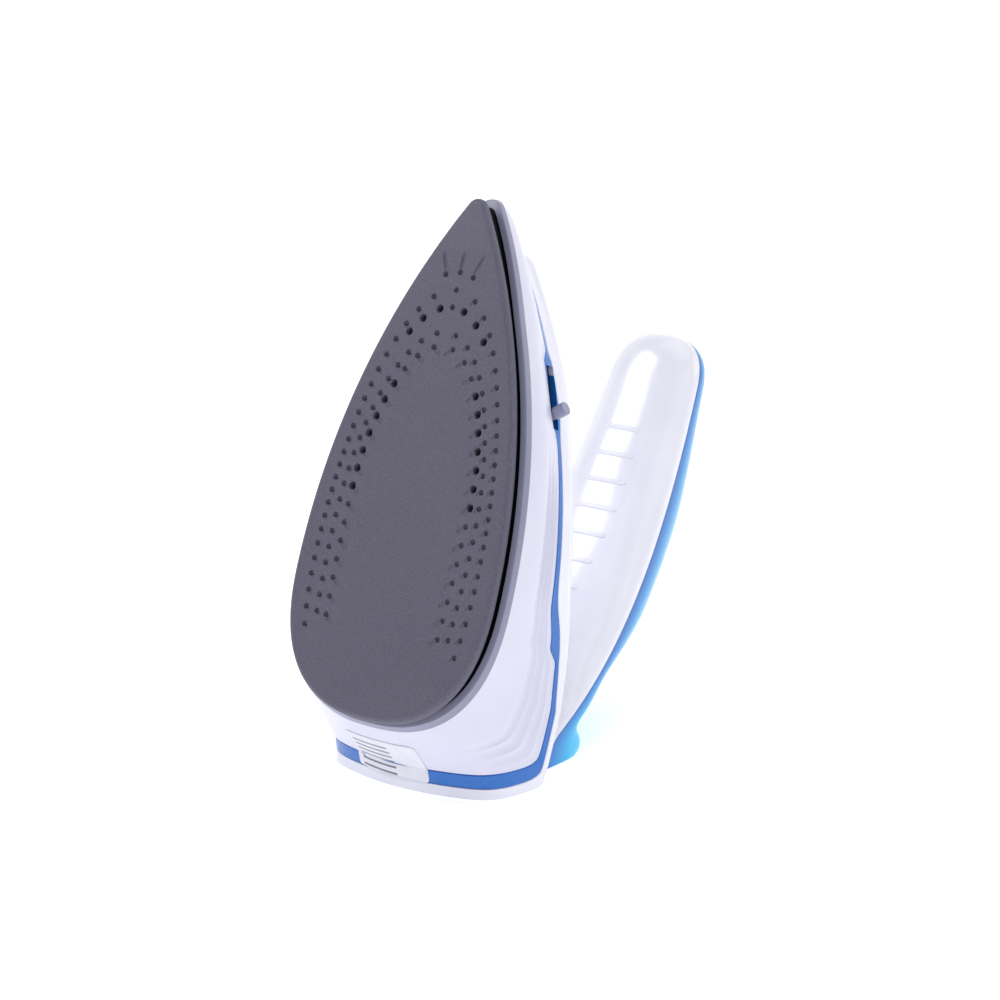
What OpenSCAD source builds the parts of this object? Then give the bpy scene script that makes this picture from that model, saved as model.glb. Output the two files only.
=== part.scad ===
// Travel steam iron with a fold-down handle, standing on its heel.
// Every module is drawn in the ironing frame: sole on z = 0, nose along +y,
// the user's right along +x. stand() turns the finished piece onto its heel.

/* [Soleplate] */
// Length of the ironing face, heel to nose
sole_length = 180; // [170:1:190]
// Half of the widest part of the ironing face
sole_half = 42.4; // [41:0.2:44]
// Distance from the heel to the widest part
sole_mid = 48; // [46:1:50]
// Thickness of the flange round the ironing face
flange_t = 3; // [2.6:0.1:3.2]
// Radius of a steam vent
vent_r = 1.25; // [1:0.05:1.5]
// Radius of a blind dimple
dimple_r = 0.9; // [0.7:0.05:1.1]

/* [Body] */
// Wall of the moulded covers
wall = 2.2; // [1.8:0.1:2.6]
// Height of the coloured band
band_h = 5.2; // [4.5:0.1:6]
// Lean of the sole when the iron stands on its heel, degrees
lean = 21; // [20:0.5:22]

/* [Handle] */
// Wall of the two handle shells
shell_t = 2.2; // [1.8:0.1:2.6]
// Radius of the hinge pin
pin_r = 3; // [2.5:0.1:3.2]
// Running clearance round the hinge pin
pin_gap = 0.05; // [0.03:0.01:0.09]
// Half-length of the longest grip rib
rib_half = 10; // [7:0.5:12]

/* [Controls] */
// Radius of the knob on the temperature lever
knob_r = 2.3; // [2:0.1:2.6]
// Radius of the water filler cap
cap_r = 8.4; // [8:0.1:8.6]
// Radius of the cord hole through the inlet bush
cord_r = 3.3; // [3:0.1:3.6]

/* [Hidden] */
$fn = 40;
hinge_y = 14;
hinge_z = 62.5;
floor_drop = 29.5;
lever_y = 95;
lever_z = 27.5;
lever_reach = 40.3;
filler_y = 143;
button_y = 121;
cap_pin_y = filler_y - cap_r - 2.6;
cap_pin_z = 42.8;
lens_y = 42;
deck_z = 8;
ring_n = 26;
// Height on the heel flat, in the ironing frame, that becomes the origin.
foot_z = 45;
foot_y = rest_y(foot_z) * sin(lean) + foot_z * cos(lean);

// ---- helpers -------------------------------------------------------------

// Smooth step from 0 at a to 1 at b.
function ease(a, b, x) = let (t = max(0, min(1, (x - a) / (b - a)))) t * t * (3 - 2 * t);
function mix(a, b, t) = a + (b - a) * t;
// The lower of a and b, rounded off over k where they cross.
function soft_min(a, b, k) = min(a, b) - pow(max(k - abs(a - b), 0), 2) / (4 * k);

// Radius of the side arc that runs from the widest point into the nose tip.
function side_r(w, len, tip) = (w * w + len * len - tip * tip) / (2 * (w - tip));

// Right half of an iron-shaped outline, heel to nose: superellipse, side arc, tip arc.
// belly rounds the heel.
function half_plan(w, rear, mid, nose, tip, p, belly) =
    let (len = nose - tip - mid, r = side_r(w, len, tip), a = atan2(len, r - w))
    concat(
        [for (i = [0 : ring_n - 1]) let (f = 90 * i / ring_n, q = pow(pow(sin(f), p) + pow(cos(f), p), -1 / p))
            [w * q * sin(f), mid - (mid - rear - belly * pow(w * q * sin(f), 2)) * q * cos(f)]],
        [for (i = [0 : ring_n - 1]) let (f = a * i / ring_n)
            [w - r + r * cos(f), mid + r * sin(f)]],
        [for (i = [0 : 5]) let (f = a + (90 - a) * i / 5) [tip * cos(f), nose - tip + tip * sin(f)]]);

// Closed outline, counter-clockwise from the heel centre.
function plan(w, rear, mid, nose, tip, p = 2.45, belly = 0) =
    let (h = half_plan(w, rear, mid, nose, tip, p, belly), n = len(h))
    concat(h, [for (i = [n - 2 : -1 : 1]) [-h[i].x, h[i].y]]);

// Outline of the soleplate moved inwards by d.
function sole_plan(d) =
    plan(sole_half - d, d, sole_mid, sole_length - d * 1.25, max(2, 4 - d * 0.5));

// Skin between rings of equal length; "strip" closes symmetric ends across x,
// "loop" joins the last ring to the first, "arcs" closes ends made of two arcs. flip turns the
// diagonal of each quad, so that two skins which meet face to face match.
module skin(rings, ends = "loop", flip = false) {
    n = len(rings[0]);
    m = len(rings);
    last = ends == "loop" ? m : m - 1;
    sides = [for (k = [0 : last - 1]) for (i = [0 : n - 1])
        let (a = k * n, b = ((k + 1) % m) * n, j = (i + 1) % n)
        each flip ? [[a + i, b + i, a + j], [b + i, b + j, a + j]]
            : [[a + i, b + i, b + j], [a + i, b + j, a + j]]];
    h = n / 2;
    strips = ends != "strip" ? [] : [for (i = [0 : h - 1])
        let (q = [i, i + 1, (n - i - 1) % n, (n - i) % n])
        i == 0 ? [q[0], q[1], q[2]] : (i == h - 1 ? [q[0], q[1], q[3]] : q)];
    ladder = ends != "arcs" ? [] : [for (i = [0 : h - 2])
        each [[i, i + 1, n - 2 - i], [i, n - 2 - i, n - 1 - i]]];
    start = concat(strips, ladder);
    end = [for (f = start) [for (j = [len(f) - 1 : -1 : 0]) (m - 1) * n + f[j]]];
    polyhedron(points = [for (r = rings) each r], faces = concat(sides, start, end));
}

module slab(points, z0, z1) {
    translate([0, 0, z0])
        linear_extrude(z1 - z0)
            polygon(points);
}

module tube(r1, r0, h) {
    difference() {
        cylinder(r = r1, h = h);
        translate([0, 0, -1])
            cylinder(r = r0, h = h + 2);
    }
}

// Places children upright: heel on the floor, sole leaning back.
module stand() {
    translate([0, -foot_y, floor_drop])
        rotate([-90 - lean, 0, 0])
            rotate([0, 0, 180])
                children();
}

// Pan-head screw, head upwards at the origin, thread below.
module screw(len, r = 1.4, head = 2.6) {
    difference() {
        union() {
            translate([0, 0, -len])
                cylinder(r = r, h = len + 0.2);
            cylinder(r = head, h = 1.8);
        }
        for (a = [0, 90])
            translate([0, 0, 1.6])
                rotate([0, 0, a])
                    cube([0.7, head * 1.3, 1.4], center = true);
    }
}

// ---- vents in the ironing face -------------------------------------------

// A row is half an ellipse: [widest y, reach to the nose, reach to the heel, half-width].
row_a = [52, 95.9, 72, 34.7];
row_b = [60, 81.9, 80, 33];
row_c = [63, 70.2, 110, 29.7];
row_d = [74, 54.4, 140, 25.4];

function row_x(r, y) = let (t = (y - r[0]) / (y > r[0] ? r[1] : r[2])) r[3] * sqrt(max(0, 1 - t * t));
// Distance back from the front of a row to its k-th hole: closer together near the nose.
function row_y(r, k, pitch, slow, wave) =
    r[0] + r[1] - pitch * k * k / (k + slow) - wave * sin(360 * k / 28);

function row_holes(r, ks, pitch, slow, wave = 0) =
    [for (k = ks) let (y = row_y(r, k, pitch, slow, wave)) [row_x(r, y), y]];

holes_a = row_holes(row_a, [1 : 24], 5.5, 1.5, 4.3);
holes_c = row_holes(row_c, [0.5 : 1 : 19.5], 5.6, 1.6);
holes_d = row_holes(row_d, [0.5 : 1 : 16.5], 6.5, 1.8);
holes_b = row_holes(row_b, [0.6, 1.6, 2.6], 6.6, 1.8);
vents = concat(holes_b, [for (i = [3 : 9]) holes_d[i]]);
dimples = concat(holes_a, holes_c, [for (i = [0 : 16]) if (i < 3 || i > 9) holes_d[i]]);

module drill(points, r, depth) {
    for (p = points)
        for (s = [-1, 1])
            translate([s * p.x, p.y, -0.5])
                cylinder(r = r, h = depth + 0.5, $fn = 16);
}

// Shallow tail running from a hole towards the middle of the face.
module tails() {
    for (p = holes_d)
        for (s = [-1, 1])
            translate([s * p.x, p.y, -0.5])
                rotate([0, 0, s > 0 ? 215 : -35])
                    translate([0, -0.45, 0])
                        cube([3.4, 0.9, 1]);
    for (a = [-22, 0, 22])
        translate([-sin(a) * -16, 154, -0.5])
            rotate([0, 0, 90 - a])
                translate([0, -0.45, 0])
                    cube([7, 0.9, 1]);
}

module island(d = 0) {
    translate([0, 92])
        circle(r = 21.6 + d);
    translate([-21.6 - d, 26 - d])
        square([43.2 + 2 * d, 66 + d]);
}

function chamber_plan(d) = plan(36.6 + d, 14 - d, 48, 157 + d, 8 + d * 0.5);

module soleplate() {
    color([0.42, 0.4, 0.42])
        difference() {
            union() {
                slab(sole_plan(1.1), 0, 0.5);
                slab(sole_plan(0.4), 0.5, 1.2);
                slab(sole_plan(0), 1.2, flange_t);
                slab(sole_plan(4.4), flange_t, deck_z);
            }
            translate([0, 0, 5])
                linear_extrude(4)
                    difference() {
                        polygon(chamber_plan(0));
                        island();
                    }
            drill(vents, vent_r, 6);
            drill(dimples, dimple_r, 0.9);
            drill([[0, 147.9], [0, 141.9], [0, 154]], dimple_r, 0.9);
            drill([[5.9, 152.7]], dimple_r, 0.9);
            tails();
            heater_path(3.3);
            for (p = plate_bolts)
                translate([p.x, p.y, 3.5])
                    cylinder(r = 1.5, h = 6);
            for (x = stat_bolts)
                translate([x, lever_y, 5])
                    cylinder(r = 1.3, h = 4);
        }
}

plate_bolts = [[0, 168], [16, 8.5], [-16, 8.5]];
stat_bolts = [-8.7, 8.7];

module heater_path(r) {
    for (s = [-1, 1])
        translate([s * 15.5, 34, deck_z + 1.2])
            rotate([-90, 0, 0])
                cylinder(r = r, h = 58);
    translate([0, 92, deck_z + 1.2])
        rotate_extrude(angle = 180)
            translate([15.5, 0])
                circle(r = r);
}

module heating_element() {
    color([0.5, 0.48, 0.46])
        heater_path(3.2);
}

// Cold pins that rise from the two ends of the element.
module element_pins() {
    color([0.75, 0.73, 0.68])
        for (s = [-1, 1])
            translate([s * 15.5, 31, deck_z + 0.1]) {
                translate([0, 0, 1.2])
                    rotate([-90, 0, 0])
                        cylinder(r = 1.1, h = 2.9);
                cylinder(r = 1.6, h = 13);
                translate([-0.4, -3, 12])
                    cube([0.8, 6, 7]);
            }
}

module chamber_seal() {
    color([0.75, 0.32, 0.2])
        translate([0, 0, deck_z + 0.05])
            linear_extrude(0.75)
                union() {
                    difference() {
                        polygon(chamber_plan(1.2));
                        polygon(chamber_plan(-0.8));
                    }
                    difference() {
                        island(-0.3);
                        island(-2);
                    }
                }
}

module chamber_cover() {
    color([0.72, 0.72, 0.74])
        translate([0, 0, deck_z + 0.85])
            linear_extrude(1)
                difference() {
                    polygon(chamber_plan(1.4));
                    translate([0, 92])
                        circle(r = 19.2);
                    translate([-19.2, 28.4])
                        square([38.4, 63.6]);
                    translate([0, valve_y])
                        circle(r = 2.4);
                }
}

valve_y = button_y;

module heat_shield() {
    color([0.05, 0.05, 0.06])
        difference() {
            union() {
                slab(sole_plan(2.2), flange_t + 0.3, 12.2);
                slab(sole_plan(3.2), 12, 14.5);
            }
            slab(sole_plan(4), flange_t, 12.6);
            for (p = plate_bolts)
                translate([p.x, p.y, 0])
                    cylinder(r = 1.7, h = 20);
            translate([-12, lever_y - 9, 10])
                cube([24, 18, 8]);
            for (s = [-1, 1])
                translate([s * 15.5, 31, 10])
                    cylinder(r = 3.6, h = 10);
            translate([0, valve_y, 10])
                cylinder(r = 4.6, h = 10);
            translate([-6, 60, 10])
                cube([12, 14, 8]);
            translate([0, 46, 10])
                cylinder(r = 2, h = 8);
        }
    color([0.05, 0.05, 0.06])
        for (p = plate_bolts)
            translate([p.x, p.y, deck_z + 0.05])
                tube(3.4, 1.7, 5);
}

module plate_screws() {
    color([0.7, 0.7, 0.72])
        for (p = plate_bolts)
            translate([p.x, p.y, 14.55])
                screw(10.5, 1.3);
    color([0.7, 0.7, 0.72])
        for (x = stat_bolts)
            translate([x, lever_y, deck_z + 1.1])
                screw(3.5, 1.1, 1.9);
}

module thermostat() {
    color([0.85, 0.82, 0.74])
        translate([0, lever_y, deck_z + 0.05])
            difference() {
                union() {
                    translate([-10.4, -5, 0])
                        cube([20.8, 7.8, 1]);
                    translate([-6.2, -6, 1])
                        cube([12.4, 11, 9]);
                    cylinder(r = 4, h = 12);
                }
                translate([0, 0, 6])
                    cylinder(r = 2.05, h = 8);
                for (x = stat_bolts)
                    translate([x, 0, -1])
                        cylinder(r = 1.3, h = 3);
            }
}

module thermal_fuse() {
    color([0.82, 0.8, 0.72]) {
        translate([0, 61.5, deck_z + 2.6])
            rotate([-90, 0, 0])
                cylinder(r = 2.2, h = 11);
        translate([-4, 66, deck_z + 0.05])
            cube([8, 2.5, 0.8]);
    }
}

module earth_tab() {
    color([0.78, 0.7, 0.35])
        difference() {
            union() {
                translate([-3.2, 43, deck_z + 0.05])
                    cube([6.4, 7, 0.8]);
                translate([-3.2, 42.2, deck_z + 0.05])
                    cube([6.4, 0.8, 3.6]);
            }
            translate([0, 46.8, 5])
                cylinder(r = 1.4, h = 8);
        }
}

// ---- body skin ------------------------------------------------------------

// Height of the lip above the ironing face.
function lip_z(y) = 4.9 + 3.4 * ease(135, 182, y);
// The flat the iron stands on, tilted by the lean: its y at height z, and the reverse.
function rest_y(z, up = 0) = (up - floor_drop + z * sin(lean)) / cos(lean);
function rest_z(y, up = 0) = (floor_drop - up + y * cos(lean)) / sin(lean);

// Parting line between skirt and band: level round the heel, then forward along the flank.
function flank_line(y) =
    mix(min(53.1 - 0.21 * y, 49.6), 25.5 + 0.112 * (150 - y) + 3.2 * ease(52, 38, y), ease(32, 37.5, y));
// The band widens into a bezel round the lever slot.
function bezel(y) = ease(104, 116, y) * ease(136, 131, y);
function skirt_z(y) = soft_min(rest_z(y, 9.5), flank_line(y) - 2.2 * bezel(y), 7);
function band_line(y) =
    mix(flank_line(y) + 2.6 + 1.1 * bezel(y), min(56.7 - 0.26 * y, 52.6), ease(62, 34, y));
function band_z(y) = soft_min(rest_z(y, 9.5 - band_h), band_line(y), 7);
// Crown of the top cover along its length.
function top_z(y) = y < 100 ? 48 + 0.2 * (100 - max(y, 32.5)) : 48 - 0.0027 * pow(y - 100, 2);
// Height just above a parting line, also where the line steps down.
function clear_of(line, y) = max(line(y), line(y - 0.35)) + 0.15;
function heel_z(y) = min(rest_z(y), mix(band_line(y), top_z(y), 0.35));

// Outlines of the skin from lip to crown: [half-width, rear, widest y, nose, tip radius, power, belly].
lip_o = [45.0, -0.8, 48, 181.6, 5, 2.45, 0];
edge_o = [45.6, -1.9, 48, 182, 5, 2.5, 0];
skirt_o = [40.9, -12.5, 46, 171.5, 4, 11, 0.0022];
band_o = [41, -16.9, 45, 169.3, 4, 12, 0.0022];
heel_o = [41, -21.1, 44, 168.2, 4, 12, 0.0022];
crown_o = [33.0, -8.6, 50, 166.6, 4, 4, 0];

// One ring of the skin, moved inwards by d; z(y) gives its height.
function ring_of(o, d, z) =
    [for (p = plan(o[0] - d, o[1] + d, o[2], o[3] - d * 1.25, max(1.6, o[4] - d * 0.6), o[5], o[6]))
        let (h = z(p.y)) [p.x, max(p.y, rest_y(h, d)), h]];

// Soft flutes along the upper skirt: a shallow wave that fades out to both ends.
function flute(s, y) = 0.55 * ease(0.42, 0.6, s) * (1 - ease(0.9, 1, s)) * (1 - ease(70, 112, y))
    * ease(-8, 10, y) * (1 + cos(360 * (s - 0.42) / 0.17));

// Ring a fraction s up the skirt, bowed gently outwards.
function skirt_ring(s, d) =
    let (a = ring_of(edge_o, d, function(y) lip_z(y) + 2.2), b = ring_of(skirt_o, d, function(y) skirt_z(y)))
    [for (i = [0 : len(a) - 1]) let (q = mix(a[i], b[i], s), bow = 1.5 * sin(180 * s) * ease(-12, 20, q.y),
        f = bow - (d > 0 ? 0 : flute(s, q.y)))
        [q.x + sign(q.x) * min(f, abs(q.x) * 0.5), q.y + 0.6 * bow * ease(140, 180, q.y), q.z]];

skirt_s = [0, 0.15, 0.3, 0.42, 0.46, 0.505, 0.55, 0.59, 0.63, 0.675, 0.72, 0.76, 0.8, 0.845, 0.9, 1];

module lower_housing() {
    color([0.93, 0.93, 0.96]) {
        difference() {
            union() {
                skin(concat(
                    [ring_of(lip_o, 2.5, function(y) lip_z(y))],
                    [ring_of(lip_o, 0, function(y) lip_z(y))],
                    [for (s = skirt_s) skirt_ring(s, 0)],
                    [for (s = [1, 0.75, 0.5, 0.25, 0]) skirt_ring(s, wall)],
                    [ring_of(lip_o, 2.5, function(y) lip_z(y) + 2.2)]));
                ledge();
            }
            translate([20, inlet_y, inlet_z])
                rotate([0, 90, 0])
                    cylinder(r = 5.1, h = 40);
            for (p = plate_bolts)
                translate([p.x, p.y, 10])
                    cylinder(r = 3.2, h = 12);
            for (p = body_bolts)
                translate([p.x, p.y, 10])
                    cylinder(r = 1.6, h = 16);
            lever_slot();
        }
        for (p = body_bolts)
            translate([p.x, p.y, 16.8])
                tube(3.6, 1.6, 8);
    }
}

body_bolts = [[0, 158], [30, 30], [-30, 30]];

// Shelf inside the skirt that sits on the heat shield.
module ledge() {
    translate([0, 0, 14.8])
        linear_extrude(2.1)
            difference() {
                polygon(sole_plan(1.2));
                polygon(sole_plan(15));
            }
}

module side_band() {
    color([0.12, 0.4, 0.75])
        difference() {
            skin([
                ring_of(skirt_o, 0, function(y) clear_of(function(t) skirt_z(t), y)),
                ring_of(band_o, 0, function(y) band_z(y)),
                ring_of(band_o, wall, function(y) band_z(y)),
                ring_of(skirt_o, wall, function(y) clear_of(function(t) skirt_z(t), y))], flip = true);
            lever_slot();
        }
}

module top_cover() {
    color([0.95, 0.95, 0.98])
        difference() {
            union() {
                difference() {
                    skin(concat(
                        [ring_of(crown_o, 9 + wall, function(y) top_z(y) - 1.3 - wall)],
                        cover_rings(wall),
                        [for (i = [6 : -1 : 0]) cover_rings(0)[i]],
                        [ring_of(crown_o, 9, function(y) top_z(y) - 1.3)]), "strip");
                    hinge_pocket(0);
                }
                intersection() {
                    difference() {
                        hinge_pocket(wall);
                        hinge_pocket(0);
                    }
                    slab(plan(34, -8, 50, 160, 4, 4), 40, top_z(0) - 2);
                }
            }
            translate([0, filler_y, 20])
                cylinder(r = cap_r + 0.9, h = 40);
            translate([-4.4, cap_pin_y - 4.6, 36])
                cube([8.8, 9, 20]);
            translate([-6.4, cap_pin_y, cap_pin_z])
                rotate([0, 90, 0])
                    cylinder(r = 0.82, h = 12.8);
            translate([0, button_y, 20])
                cylinder(r = 5.35, h = 40);
            translate([0, lens_y, 40])
                cylinder(r = 4.05, h = 30);
            lever_slot();
            for (s = [-1, 1])
                translate([s * 8.5, hinge_y, 40])
                    cylinder(r = 1.3, h = 20);
        }
}

// Rings from the crown lip down to the band, moved inwards by d.
function cover_rings(d) = [
    ring_of(crown_o, 3.4 + d, function(y) top_z(y) - 1.1 - d),
    ring_of(crown_o, 2.4 + d, function(y) top_z(y) - d),
    ring_of(crown_o, 0.9 + d, function(y) top_z(y) - d * 0.9),
    ring_of(crown_o, d, function(y) top_z(y) - 1.1 - d * 0.6),
    flank_ring(d),
    ring_of(heel_o, d, function(y) heel_z(y)),
    ring_of(band_o, d, function(y) clear_of(function(t) band_z(t), y))];

// Half-way ring of the flank, bowed outwards in front of the heel.
function flank_ring(d) =
    let (a = ring_of(heel_o, d, function(y) heel_z(y)),
        b = ring_of(crown_o, d, function(y) top_z(y) - 1.1 - d * 0.6))
    [for (i = [0 : len(a) - 1]) let (q = (a[i] + b[i]) / 2)
        [q.x + sign(q.x) * 1.2 * ease(-8, 10, q.y), q.y, q.z + 0.6 * ease(150, 170, q.y)]];

// Well in the rear of the cover where the handle root turns.
module hinge_pocket(d) {
    translate([-28.5 - d, hinge_y - 12.5 - d, 50 - d])
        cube([57 + 2 * d, 25.5 + 2 * d, 40 + d]);
}

// Window in the flank swept by the temperature lever.
module lever_slot() {
    intersection() {
        translate([0, lever_y, lever_z - 1])
            linear_extrude(5.2)
                difference() {
                    circle(r = lever_reach + 6);
                    circle(r = 20);
                }
        translate([-60, 109.5, 20])
            cube([60, 21, 16]);
    }
}

// Solid filled up to the outer skin, grown outwards by d.
module filled_skin(d) {
    skin(concat(
        [for (s = [0, 0.25, 0.5, 0.75, 1]) skirt_ring(s, -d)],
        [ring_of(band_o, -d, function(y) band_z(y)), ring_of(heel_o, -d, function(y) heel_z(y))]), "strip");
}

// Thin blank label that follows the sloping heel wall.
module rating_label() {
    color([0.86, 0.87, 0.9])
        intersection() {
            difference() {
                filled_skin(0.4);
                filled_skin(0.08);
            }
            translate([label_x, -12.4, 19.6])
                rotate([-50.5, 0, 0])
                    translate([0, 0, -15])
                        linear_extrude(30)
                            rounded_rect(31, 17.6, 1.8);
        }
}

label_x = 1.4;

module rounded_rect(w, h, r) {
    difference() {
        square([w, h], center = true);
        for (sx = [-1, 1])
            for (sy = [-1, 1])
                translate([sx * w / 2, sy * h / 2])
                    difference() {
                        square(2 * r, center = true);
                        translate([-sx * r, -sy * r])
                            circle(r = r);
                    }
    }
}

module housing_screws() {
    color([0.7, 0.7, 0.72])
        for (p = body_bolts)
            translate([p.x, p.y, 24.9])
                screw(10, 1.4);
}

// ---- water and steam --------------------------------------------------------

tank_z0 = 32.5;
tank_z1 = 40;

module water_tank() {
    color([0.55, 0.75, 0.92])
        difference() {
            union() {
                slab(plan(24, 26, 58, 152, 7), tank_z0, tank_z1);
                translate([0, filler_y, 34])
                    cylinder(r = 5.6, h = 9.4);
            }
            difference() {
                slab(plan(22.4, 27.6, 58, 150, 5.4), tank_z0 + 1.6, tank_z1 - 1.6);
                translate([0, valve_y, 30])
                    cylinder(r = 7.8, h = 20);
            }
            translate([0, valve_y, 38.7])
                cylinder(r = 6.8, h = 3);
            translate([0, filler_y, 36])
                cylinder(r = 4, h = 12);
            translate([0, valve_y, 20])
                cylinder(r = 2.6, h = 30);
            translate([0, valve_y, 36])
                cylinder(r = 3.9, h = 10);
        }
}

module filler_seal() {
    color([0.2, 0.2, 0.22])
        translate([0, filler_y, 41])
            tube(6.6, 5.65, 1.8);
}

// Brass drip valve between the tank and the steam chamber.
module drip_valve() {
    color([0.8, 0.66, 0.3])
        translate([0, valve_y, deck_z + 0.95])
            difference() {
                union() {
                    cylinder(r = 2.3, h = 3);
                    translate([0, 0, 2.2])
                        cylinder(r = 4.2, h = 3);
                    translate([0, 0, 5])
                        cylinder(r = 2.5, h = 22.5);
                }
                translate([0, 0, -1])
                    cylinder(r = 0.6, h = 40);
                translate([0, 0, 3])
                    cylinder(r = 1.5, h = 40);
            }
}

module valve_rod() {
    color([0.75, 0.75, 0.78]) {
        translate([0, valve_y, 18])
            cylinder(r = 1.2, h = 26.6);
        translate([0, valve_y, 39.2])
            cylinder(r = 2.2, h = 0.8);
    }
}

module steam_spring() {
    color([0.7, 0.7, 0.72])
        for (i = [0 : 3])
            translate([0, valve_y, 36.45 + i * 1.45])
                rotate_extrude()
                    translate([3.1, 0])
                        circle(r = 0.35, $fn = 16);
}

module steam_button() {
    color([0.12, 0.4, 0.75])
        translate([0, button_y, 42.9])
            difference() {
                union() {
                    translate([0, 0, -1.6])
                        cylinder(r = 5, h = 7.3);
                    translate([0, 0, 5.7])
                        cylinder(r = 4.4, h = 0.7);
                    translate([0, 0, -1.6])
                        cylinder(r = 6.4, h = 0.9);
                }
                translate([0, 0, -2])
                    cylinder(r = 1.22, h = 4);
                for (a = [0 : 120 : 240])
                    rotate([0, 0, a])
                        translate([2.6, 0, 6.1])
                            cylinder(r = 0.6, h = 1);
            }
}

module filler_cap() {
    color([0.12, 0.4, 0.75])
        difference() {
            union() {
                translate([0, filler_y, 43.7])
                    cylinder(r = cap_r, h = 2.2);
                translate([0, filler_y, 41.5])
                    difference() {
                        cylinder(r = 3.5, h = 2.3);
                        translate([0, 0, -1])
                            cylinder(r = 2.3, h = 3);
                    }
                translate([-3, cap_pin_y - 0.8, 43.7])
                    cube([6, 5, 2.2]);
                translate([-3, cap_pin_y, cap_pin_z])
                    rotate([0, 90, 0])
                        cylinder(r = 1.9, h = 6);
                translate([-3.5, filler_y + cap_r - 0.8, 44.4])
                    cube([7, 2, 1.5]);
            }
            translate([-5, cap_pin_y, cap_pin_z])
                rotate([0, 90, 0])
                    cylinder(r = 0.85, h = 10);
        }
}

module cap_pin() {
    color([0.75, 0.75, 0.78])
        translate([-6.2, cap_pin_y, cap_pin_z])
            rotate([0, 90, 0])
                cylinder(r = 0.8, h = 12.4);
}

// ---- controls and wiring ----------------------------------------------------

lever_a = atan2(22, -lever_reach * cos(asin(22 / lever_reach)));

module temperature_lever() {
    color([0.3, 0.3, 0.33])
        translate([0, lever_y, 0]) {
            translate([0, 0, 16])
                cylinder(r = 2, h = 6);
            translate([0, 0, 21.6])
                cylinder(r = 6, h = 3.4);
            translate([0, 0, 25])
                cylinder(r = 4, h = 3.4);
            rotate([0, 0, lever_a])
                translate([0, -1.6, lever_z + 0.8])
                    cube([lever_reach - 3.2, 3.2, 1.6]);
        }
}

module lever_knob() {
    color([0.48, 0.46, 0.56])
        translate([0, lever_y, lever_z + 1.6])
            rotate([0, 0, lever_a])
                translate([lever_reach - 5.4, 0, 0])
                    rotate([0, 90, 0])
                        difference() {
                            union() {
                                cylinder(r = knob_r - 0.5, h = 1.6);
                                translate([0, 0, 1.6])
                                    cylinder(r = knob_r, h = 4.4);
                            }
                            translate([-0.85, -1.65, -1])
                                cube([1.7, 3.3, 3.25]);
                        }
}

module terminal_block() {
    color([0.9, 0.88, 0.8])
        translate([-10, 8, 18])
            difference() {
                cube([20, 12, 9]);
                for (i = [0 : 2]) {
                    translate([3.5 + i * 6.5, -1, 4])
                        rotate([-90, 0, 0])
                            cylinder(r = 1.6, h = 14);
                    translate([3.5 + i * 6.5, 6, 5])
                        cylinder(r = 1.8, h = 5);
                }
            }
}

module wire(x, y0, y1, z) {
    translate([x, y0, z])
        rotate([-90, 0, 0])
            cylinder(r = 0.9, h = y1 - y0);
}

module internal_wires() {
    color([0.7, 0.25, 0.15]) {
        wire(6.5, 20.5, 40, 22);
        wire(-6.5, 20.5, 84, 22);
        translate([0, 20.5, 22])
            rotate([-90, 0, 0])
                cylinder(r = 0.9, h = 22);
    }
}

inlet_y = 14;
inlet_z = 26;

// Bush in the hidden flank that carries the cord.
module cord_inlet() {
    color([0.15, 0.15, 0.16])
        translate([29.6, inlet_y, inlet_z])
            rotate([0, 90, 0])
                difference() {
                    union() {
                        cylinder(r = 5, h = 16);
                        translate([0, 0, 13.8])
                            cylinder(r = 6.6, h = 2.2);
                        cylinder(r = 6.6, h = 2);
                    }
                    translate([0, 0, -1])
                        cylinder(r = cord_r, h = 20);
                }
}

module cord_clamp() {
    color([0.9, 0.88, 0.8])
        translate([16, inlet_y - 9, 18])
            difference() {
                union() {
                    cube([6, 18, 5.2]);
                    translate([0, 0, 10.6])
                        cube([6, 18, 3]);
                }
                for (y = [3, 15])
                    translate([3, y, -1])
                        cylinder(r = 1.3, h = 20);
            }
}

module pilot_lamp() {
    color([0.95, 0.5, 0.3])
        translate([0, lens_y, 45])
            cylinder(r = 2.4, h = 8);
}

module pilot_lens() {
    color([0.9, 0.3, 0.2])
        translate([0, lens_y, top_z(lens_y) - 5.4])
            difference() {
                union() {
                    cylinder(r = 4, h = 4.7);
                    cylinder(r = 5, h = 0.8);
                }
                translate([0, 0, -1])
                    cylinder(r = 2.8, h = 3.6);
            }
}

// ---- hinge and handle -------------------------------------------------------

module hinge_bracket() {
    color([0.8, 0.8, 0.84])
        difference() {
            union() {
                translate([-12, hinge_y - 9, 50.05])
                    cube([24, 18, 2.4]);
                translate([-12, hinge_y - 4.5, 51])
                    cube([24, 9, hinge_z - 51]);
                translate([-12, hinge_y, hinge_z])
                    rotate([0, 90, 0])
                        cylinder(r = 7.4, h = 24);
            }
            translate([-13, hinge_y, hinge_z])
                rotate([0, 90, 0])
                    cylinder(r = pin_r + pin_gap, h = 26);
            for (x = [-8.5, 8.5])
                translate([x, hinge_y, 40])
                    cylinder(r = 1.1, h = 12.6);
        }
}

module bracket_screws() {
    color([0.7, 0.7, 0.72])
        for (s = [-1, 1])
            translate([s * 8.5, hinge_y, 47.75])
                rotate([180, 0, 0])
                    screw(4.6, 1, 2);
}

module hinge_pin() {
    color([0.75, 0.75, 0.78])
        translate([-21, hinge_y, hinge_z])
            rotate([0, 90, 0])
                cylinder(r = pin_r, h = 42);
}

module hinge_washers() {
    color([0.85, 0.83, 0.75])
        for (x = [-13, 12.3])
            translate([x, hinge_y, hinge_z])
                rotate([0, 90, 0])
                    tube(6.4, pin_r + 0.02, 0.7);
}

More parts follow.
